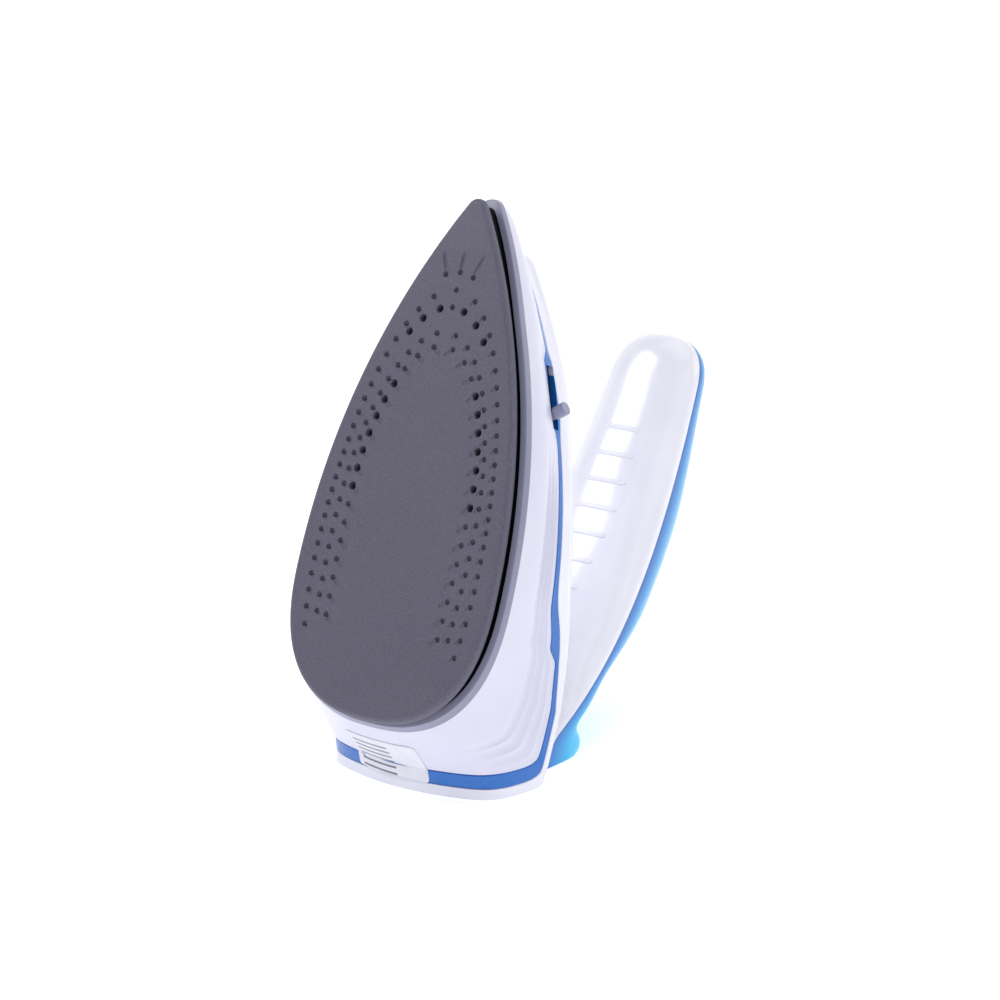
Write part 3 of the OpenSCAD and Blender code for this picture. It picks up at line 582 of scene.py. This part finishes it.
HOLES_A = row_holes(ROW_A, range(1, 25), 5.5, 1.5, 4.3)
HOLES_C = row_holes(ROW_C, np.arange(20) + 0.5, 5.6, 1.6)
HOLES_D = row_holes(ROW_D, np.arange(17) + 0.5, 6.5, 1.8)
HOLES_B = row_holes(ROW_B, (0.6, 1.6, 2.6), 6.6, 1.8)
VENTS = HOLES_B + HOLES_D[3:10]
DIMPLES = HOLES_A + HOLES_C + HOLES_D[:3] + HOLES_D[10:] + [(5.9, 152.7)]


def bead(x, y, angle, long, half, depth):
    """A small ellipsoid that cuts a dimple or, drawn out, a tail."""
    points, faces, sides, bands = [], [], 16, 8
    c, s = math.cos(angle), math.sin(angle)
    for j in range(1, bands):
        f = math.pi * j / bands
        for i in range(sides):
            g = 2 * math.pi * i / sides
            a, b = long * math.sin(f) * math.cos(g), half * math.sin(f) * math.sin(g)
            points.append((x + a * c - b * s, y + a * s + b * c, depth * math.cos(f)))
    for j in range(bands - 2):
        for i in range(sides):
            k = (i + 1) % sides
            faces.append((j * sides + i, (j + 1) * sides + i, (j + 1) * sides + k, j * sides + k))
    top, bottom = len(points), len(points) + 1
    points += [(x, y, depth), (x, y, -depth)]
    for i in range(sides):
        k = (i + 1) % sides
        faces.append((top, i, k))
        faces.append((bottom, (bands - 2) * sides + k, (bands - 2) * sides + i))
    return np.array(points), faces


def ring_flat(o, d, z):
    """Ring of the plate: an outline at one height."""
    p = plan(o, d)
    return np.column_stack([p, np.full(len(p), float(z))])


# The edge of the plate, as (inset, height) pairs, and the drilled vent, as (radius, height) pairs.
PLATE_EDGE = ((1.9, 0), (1.45, 0.05), (1.0, 0.2), (0.6, 0.45), (0.28, 0.82), (0.08, 1.25), (0, 1.75),
              (0, 2.6), (0.12, 2.88), (0.4, 3.0), (4.2, 3.0), (4.4, 3.2), (4.4, DECK_Z))
VENT_BORE = ((1.75, -0.4), (1.45, 0.15), (1.3, 0.5), (1.25, 6))
DIMPLE = (1.1, 1.05, 1.4)
MIDLINE_DIMPLES = (147.9, 141.9, 154.0)
FAN_Y, FAN_TURNS = 154.0, (-22, 0, 22)


def tail(x, y, angle, away, shape):
    """A drawn-out bead a distance away from a hole, so that the hole ends in a teardrop."""
    return bead(x + away * math.cos(angle), y + away * math.sin(angle), angle, *shape)


def build_soleplate():
    outline = (SOLE_HALF, 0, SOLE_MID, SOLE_LENGTH, 4, 2.45, 0)
    edge = [ring_flat(outline, d, z) for d, z in PLATE_EDGE]
    plate = mesh_object("plate", *skin(edge, closed=False, caps=True))
    holes, tails = [], []
    for x, y in VENTS:
        for s in (-1, 1):
            holes.append(lathe((s * x, y, 0), (0, 0, 1), VENT_BORE, 20))
    for x, y in DIMPLES:
        for s in (-1, 1):
            holes.append(bead(s * x, y, 0, *DIMPLE))
    for y in MIDLINE_DIMPLES:
        holes.append(bead(0, y, 0, *DIMPLE))
    for rows, away, shape in ((HOLES_D, 1.9, (2.1, 0.85, 0.55)), (HOLES_A + HOLES_C, 0.9, (1.35, 0.7, 0.45))):
        for x, y in rows:
            for s in (-1, 1):
                tails.append(tail(s * x, y, math.radians(215 if s > 0 else -35), away, shape))
    for turn in FAN_TURNS:
        x = 16 * math.sin(math.radians(turn))
        tails.append(tail(x, FAN_Y, math.radians(90 - turn), 3.4, (3.9, 0.75, 0.55)))
    cut(plate, joined("cutter", holes), joined("cutter", tails))
    return dress(plate, "iron", [PLATE], ["soleplate"], 40)


# ---- body skins ----------------------------------------------------------------


def lever_window():
    """Cutter for the opening that the temperature lever sweeps."""
    return box_cutter(WINDOW_LOW, WINDOW_HIGH)


def build_skirt():
    def lip(d, up):
        return ring(LIP, d, lambda y: lip_z(y) + up)

    rim = [lip(2.5, 0), lip(0.35, 0), lip(0.08, 0.18), lip(0, 0.5)]
    outer = [skirt_ring(s, 0) for s in np.linspace(0, 0.985, int(76 * FINE))]
    inner = [skirt_ring(1, 0.2), *[skirt_ring(s, WALL) for s in (1, 0.75, 0.5, 0.25, 0)]]
    skirt = mesh_object("skirt", *skin([*rim, *outer, *inner, lip(2.5, WALL)]))
    cut(skirt, lever_window(), lathe_cutter((20, INLET_Y, INLET_Z), (1, 0, 0), [(5.1, 0), (5.1, 40)]))
    # The second slot holds the painted shade of the lip rim.
    for m in (WHITE, LIP_SHADE):
        skirt.data.materials.append(m)
    paint_lip_shade(skirt)
    return dress(skirt, "iron", [], ["lower_housing"])


def paint_lip_shade(obj):
    """Painted shade: the rim that faces the shield gets a darker lavender copy of the white plastic, standing
    in for the shade it sits in.
    """
    for f in obj.data.polygons:
        _, y, z = unrow(f.center)
        f.material_index = 1 if z < lip_z(y) + 2.05 else 0


def build_band():
    def low(d):
        return ring(SKIRT, d, lambda y: skirt_z(y) + 0.12)

    def high(d):
        return ring(BAND, d, band_z)

    steps = [mix(low(0), high(0), t) for t in (0.05, 0.25, 0.5, 0.75, 0.95)]
    band = mesh_object("band", *skin([low(SEAM), *steps, high(SEAM), high(WALL), low(WALL)]))
    cut(band, lever_window())
    return dress(band, "iron", [BAND_BLUE], ["side_band"])


def build_cover():
    def seam(d):
        return ring(BAND, d, lambda y: band_z(y) + 0.15)

    def crown(d, below):
        return ring(CROWN, d, lambda y: top_z(y) - below)

    heel, flank = ring(HEEL, 0, heel_z), flank_ring(0)
    rim = [crown(0, 1.1), crown(0.9, 0.1), crown(2.4, 0)]
    outer = [seam(SEAM), *[mix(seam(0), heel, t) for t in (0.05, 0.35, 0.65, 0.88)]]
    outer += between([heel, flank, rim[0]], 8)[1:] + between(rim, 3)[1:] + [crown(3.4, 1.1), crown(9, 1.3)]
    inner = [crown(9 + WALL, 1.3 + WALL), crown(3.4 + WALL, 1.1 + WALL)]
    inner += [flank_ring(WALL), ring(HEEL, WALL, heel_z), seam(WALL)]
    cover = mesh_object("cover", *skin(inner + outer, closed=False, caps=True))
    cut(
        cover,
        box_cutter((-WELL_HALF, WELL_Y[0], WELL_Z), (WELL_HALF, WELL_Y[1], 90)),
        lathe_cutter((0, FILLER_Y, 30), (0, 0, 1), [(CAP_R + 0.9, 0), (CAP_R + 0.9, 30)], 72),
        box_cutter((-4.4, 127.4, 36), (4.4, 136.4, 56)),
        lathe_cutter((0, BUTTON_Y, 30), (0, 0, 1), [(5.35, 0), (5.35, 30)], 60),
        lathe_cutter((0, LENS_Y, 45), (0, 0, 1), [(4.05, 0), (4.05, 25)], 60),
        lever_window(),
    )
    dress(cover, "iron", [COVER_WHITE], ["top_cover"])
    build_well()
    return cover


def build_well():
    """Walls and floor of the well under the handle root, trimmed by the plane of the heel."""
    low = (-WELL_HALF - WALL, WELL_Y[0] - WALL, WELL_Z - WALL)
    high = (WELL_HALF + WALL, WELL_Y[1] + WALL, WELL_RIM)
    well = box_cutter(low, high)
    well.name = "hinge_well"
    cut(well, box_cutter((0.1 - WELL_HALF, WELL_Y[0] + 0.1, WELL_Z), (WELL_HALF - 0.1, WELL_Y[1] - 0.1, 70)))
    for v in well.data.vertices:
        x, y, z = unrow(v.co)
        v.co = Vector(row((x, max(y, rest_y(z, 0.6)), z)))
    dress(well, "iron", [COVER_WHITE])


LABEL_SIZE, LABEL_CORNER, LABEL_TILT = (31.0, 17.6), 1.8, math.radians(50.5)
LABEL_AT = np.array([1.4, -12.4, 19.6])


def build_label(wall_pieces):
    """Film laid on the heel wall, found by casting from outside onto the skin."""
    trees = []
    for o in wall_pieces:
        corners, sides = [v.co for v in o.data.vertices], [p.vertices for p in o.data.polygons]
        trees.append(BVHTree.FromPolygons(corners, sides))
    width, height = LABEL_SIZE
    u, v = np.array([1.0, 0, 0]), np.array([0, math.cos(LABEL_TILT), -math.sin(LABEL_TILT)])
    out = np.cross(u, v)
    out *= -1 if out[2] > 0 else 1
    nu, nv = 46, 28
    points, uvs = [], []
    for j in range(nv + 1):
        for i in range(nu + 1):
            a, b = i / nu - 0.5, j / nv - 0.5
            edge = max(0, abs(b) * height - (height / 2 - LABEL_CORNER))
            inset = LABEL_CORNER - math.sqrt(max(0, LABEL_CORNER**2 - edge**2))
            p = LABEL_AT + u * a * (width - 2 * inset) + v * b * height
            start, toward = Vector(row(p + out * 14)), Vector(row(p)) - Vector(row(p + out * 14))
            hits = [t.ray_cast(start, toward.normalized()) for t in trees]
            hits = [h for h in hits if h[0] is not None]
            near = min(hits, key=lambda h: h[3])[0] if hits else Vector(row(p))
            points.append(near - toward.normalized() * 0.00012)
            uvs.append((0.5 - a, 0.5 - b))
    faces = [(j * (nu + 1) + i, j * (nu + 1) + i + 1, (j + 1) * (nu + 1) + i + 1, (j + 1) * (nu + 1) + i)
             for j in range(nv) for i in range(nu)]
    mesh = bpy.data.meshes.new("label")
    mesh.from_pydata(points, [], faces)
    layer = mesh.uv_layers.new(name="film")
    for loop in mesh.loops:
        layer.data[loop.index].uv = uvs[loop.vertex_index]
    label = bpy.data.objects.new("label", mesh)
    bpy.context.scene.collection.objects.link(label)
    thick = label.modifiers.new("film", "SOLIDIFY")
    thick.thickness = 0.00018
    thick.offset = 0
    return dress(label, "iron", [FILM], ["rating_label"])


# ---- handle --------------------------------------------------------------------


def tip_fade(y):
    """Share of the full width and height that is left towards the rounded tip."""
    return max(0.004, 1 - (max(0, y - FADE_Y) / (TIP_Y - FADE_Y)) ** 2.8) ** 0.42


def edge_z(y):
    """Height of the parting edge between the two shells."""
    return 66 + 71 * (1 - math.exp(-y / 62)) + 7.1 * (1 - float(ease(-7, 9, y)))


def grip_half(y):
    return (30 - 0.075 * y) * tip_fade(y)


def crown_h(y):
    root, swell = 14.5 * (1 - float(ease(-7, 14, y))), 9.5 * float(ease(22, 58, y))
    return (12.5 + root + swell - 9 * float(ease(85, 150, y))) * tip_fade(y)


def keel_h(y):
    return (2.4 + 10 * float(ease(-4, 42, y)) - 2.5 * float(ease(110, 150, y))) * tip_fade(y)


def root_slant(y):
    """Lean of the slices near the root, which brings the foot flat onto the floor."""
    return math.tan(LEAN) * (1 - float(ease(0, 30, y)))


def arc(a, b, power, n):
    f = np.linspace(0, math.pi, n)
    c, s = np.cos(f), np.sin(f)
    q = (np.abs(c) ** power + np.abs(s) ** power) ** (-1 / power)
    return np.stack([a * q * c, b * q * s], 1)


def handle_slice(y, side, power, shut, n):
    """One slice of a handle shell: outer arc and back along the inner arc."""
    w, h = grip_half(y), crown_h(y) - 0.08 if side > 0 else keel_h(y)
    wi, hi = max(w - SHELL_T, w * 0.3), max(0.08, (h - SHELL_T) * shut)
    lift = 0.1 if side > 0 else 0.0
    flat = np.concatenate([arc(w, h, power, n), arc(wi, hi, power, n)[::-1]])
    z = side * (flat[:, 1] + lift)
    return np.column_stack([flat[:, 0], y + root_slant(y) * z, edge_z(y) + z])


def handle_stations():
    """Slice positions along the handle, closer together round the tip."""
    body = np.linspace(ROOT_Y, FADE_Y, int(96 * FINE))
    tip = FADE_Y + (TIP_Y - FADE_Y) * np.sin(np.linspace(0, math.pi / 2, int(30 * FINE) + 4))[1:]
    return np.concatenate([body, tip])


def handle_shell(name, side):
    n = 2 * int(28 * FINE) + 3
    rings = []
    for y in handle_stations():
        power = 2.5 + 5 * (1 - float(ease(-5, 34, y))) if side > 0 else 2.3
        shut = 1.0 - float(ease(TIP_Y - 6, TIP_Y - 4, y))
        if side > 0:
            shut *= float(ease(ROOT_Y + 2, ROOT_Y + 3, y))
        rings.append(handle_slice(y, side, power, shut, n))
    points, faces = skin(rings, closed=False)
    m = len(rings[0])
    faces += [tuple(range(m)), tuple(range((len(rings) - 1) * m, len(rings) * m))[::-1]]
    return mesh_object(name, points, faces)


def rib(y, half):
    """A rounded rib that follows the curve of the keel across x."""
    power, w, k = 2.3, grip_half(y), keel_h(y)
    slope = math.atan2(edge_z(y + 1) - edge_z(y - 1), 2)
    c, s = math.cos(slope), math.sin(slope)
    points, faces, sides, steps = [], [], 12, 26
    for t in np.linspace(-1, 1, steps):
        x = half * t
        r = RIB_R * math.sqrt(max(0.02, 1 - max(0, abs(t) * half - half + 1.2) ** 2 / 1.44))
        z = edge_z(y) - k * (1 - abs(x / w) ** power) ** (1 / power) - 0.1
        for i in range(sides):
            g = 2 * math.pi * i / sides
            dy, dz = r * 1.25 * math.cos(g), r * math.sin(g)
            along, up = dy * c - dz * s, dy * s + dz * c
            points.append((x, y + along, z + up))
    for k2 in range(steps - 1):
        for i in range(sides):
            j = (i + 1) % sides
            faces.append((k2 * sides + i, k2 * sides + j, (k2 + 1) * sides + j, (k2 + 1) * sides + i))
    faces += [tuple(range(sides))[::-1], tuple(range((steps - 1) * sides, steps * sides))]
    return np.array(points), faces


def build_handle():
    inner = handle_shell("handle_inner", -1)
    slots = []
    for s in (-1, 1):
        slot = box_cutter((s * ARM_X - 3.5, -8.0, -9.0), (s * ARM_X + 3.5, 8.0, 31.0))
        for v in slot.data.vertices:
            v.co = Vector(row(turned(unrow(v.co), ARM_TILT)))
        slots.append(slot)
    barrel = [(BARREL_R, 0), (BARREL_R, 2 * BARREL_HALF)]
    cut(inner, lathe_cutter((-BARREL_HALF, HINGE_Y, HINGE_Z), (1, 0, 0), barrel, 64), *slots)
    dress(inner, "handle", [HANDLE_WHITE], ["handle_inner_shell"])
    halves = [10 * (0.55 + 0.45 * math.sin(math.radians(180 * (i + 1.6) / 9.2))) for i in range(RIB_COUNT)]
    ribs = joined("grip_ribs", [rib(RIB_FIRST - RIB_PITCH * i, half) for i, half in enumerate(halves)])
    dress(ribs, "handle", [HANDLE_WHITE], degrees=60)
    outer = handle_shell("handle_outer", 1)
    shade_crown(outer)
    dress(outer, "handle", [TINTED_PAINTED_LIGHT], ["handle_outer_cover"])


def turned(p, a):
    """A point of the hinge arms turned about the hinge and put in place."""
    x, y, z = p
    return (x, HINGE_Y + y * math.cos(a) - z * math.sin(a), HINGE_Z + y * math.sin(a) + z * math.cos(a))


def shade_crown(obj):
    """Stores how far each point stands above the parting edge, for the painted light of the tinted cover."""
    layer = obj.data.attributes.new("crown", "FLOAT", "POINT")
    values = []
    for v in obj.data.vertices:
        _, y, z = unrow(v.co)
        y = min(max(y, ROOT_Y), TIP_Y)
        values.append(min(1.0, max(0.0, (z - edge_z(y)) / max(crown_h(y), 1.0))))
    layer.data.foreach_set("value", values)


# ---- studio -----------------------------------------------------------------------

CAMERA_AT = Vector((0.5769, -0.7149, 0.3344))
CAMERA_LOOKS = Vector((-0.58781, 0.76956, -0.24951))
CAMERA_LENS = 100.8
CAMERA_AZIMUTH = math.radians(37.4)
# Lamps: place in metres, size of the square in metres, watts.
LAMPS = {
    "key": ((-0.95, -0.75, 1.2), 0.6, 6.2),
    "fill": ((1.25, -0.35, 0.75), 1.2, 2.9),
    "top": ((0.1, 0.25, 1.5), 1.4, 6.5),
    "rim": ((0.9, 1.0, 0.7), 0.8, 2.4),
}


def paper(name, color):
    n = Nodes(name)
    n.link(n.ramp(n.noise(3.0), [(0.3, shade(color, 0.995)), (0.7, color)]), n.shader.inputs["Base Color"])
    n.set(Roughness=0.9, Emission_Color=(1, 1, 1, 1), Emission_Strength=0.45)
    return n.material


def build_studio():
    """Pale sweep, large soft lamps and the camera."""
    radius, back, front, half = 0.6, 1.6, -1.9, 2.6
    profile = [(front, 0.0), (back - radius, 0.0)]
    for a in np.linspace(0.1, math.pi / 2, 14):
        profile.append((back - radius + radius * math.sin(a), radius - radius * math.cos(a)))
    profile += [(back, 2.4)]
    points = [(x, y, z) for x in (-half, half) for y, z in profile]
    n = len(profile)
    mesh = bpy.data.meshes.new("sweep")
    mesh.from_pydata(points, [], [(i, i + 1, n + i + 1, n + i) for i in range(n - 1)])
    mesh.shade_smooth()
    mesh.materials.append(paper("paper", (0.93, 0.93, 0.95)))
    sweep = bpy.data.objects.new("sweep", mesh)
    sweep.rotation_euler = (0, 0, CAMERA_AZIMUTH)
    bpy.context.scene.collection.objects.link(sweep)
    for name, (place, size, power) in LAMPS.items():
        light = bpy.data.lights.new(name, "AREA")
        light.size = size
        light.energy = power
        lamp = bpy.data.objects.new(name, light)
        lamp.location = place
        lamp.rotation_mode = "QUATERNION"
        lamp.rotation_quaternion = (Vector((0, 0, 0.09)) - Vector(place)).to_track_quat("-Z", "Y")
        bpy.context.scene.collection.objects.link(lamp)
    world = bpy.context.scene.world or bpy.data.worlds.new("world")
    bpy.context.scene.world = world
    world.use_nodes = True
    world.node_tree.nodes["Background"].inputs["Color"].default_value = (0.93, 0.94, 1.0, 1)
    world.node_tree.nodes["Background"].inputs["Strength"].default_value = 0.38
    data = bpy.data.cameras.new("camera")
    data.lens = CAMERA_LENS
    data.sensor_width = 36.0
    data.clip_end = 20.0
    camera = bpy.data.objects.new("camera", data)
    camera.location = CAMERA_AT
    camera.rotation_mode = "QUATERNION"
    camera.rotation_quaternion = CAMERA_LOOKS.to_track_quat("-Z", "Y")
    bpy.context.scene.collection.objects.link(camera)
    bpy.context.scene.camera = camera
    bpy.context.scene.view_settings.view_transform = "Standard"


dress_cad_nodes()
build_soleplate()
skirt = build_skirt()
band = build_band()
cover = build_cover()
build_label([skirt, band, cover])
build_handle()
build_studio()
